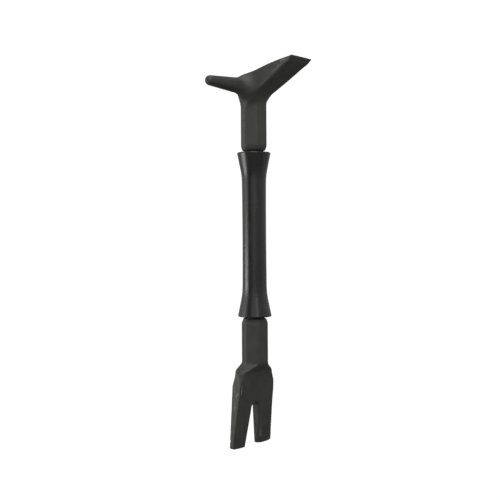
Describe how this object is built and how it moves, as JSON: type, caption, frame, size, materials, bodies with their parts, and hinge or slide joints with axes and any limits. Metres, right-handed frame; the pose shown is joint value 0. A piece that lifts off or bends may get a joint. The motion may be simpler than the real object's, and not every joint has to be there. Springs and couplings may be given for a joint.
{
  "type": "pry tool",
  "caption": "Small double-ended pry tool with a waisted round grip, an adze and pick head on one end and a notched fork on the other.",
  "frame": {"origin": "on the tool's axis, halfway along the grip", "axes": "+Z along the tool from the fork to the adze and pick head, +X the way the adze points, -Y the way the pick points"},
  "size_m": [0.0423, 0.0497, 0.2026],
  "materials": {
    "moulded_nylon": "matte black glass-filled nylon, finely textured, scuffed on its working edges",
    "black_grip": "smooth semi-gloss black",
    "plated_steel": "zinc-plated steel",
    "natural_nylon": "unfilled natural nylon",
    "insert_brass": "machined brass"
  },
  "bodies": {
    "root": {"adze_pick_head": "moulded_nylon", "fork_head": "moulded_nylon", "grip_sleeve": "black_grip", "tie_rod": "plated_steel", "upper_washer": "plated_steel", "lower_washer": "plated_steel", "upper_bushing": "natural_nylon", "lower_bushing": "natural_nylon", "upper_insert": "insert_brass", "lower_insert": "insert_brass"}
  },
  "joints": []
}
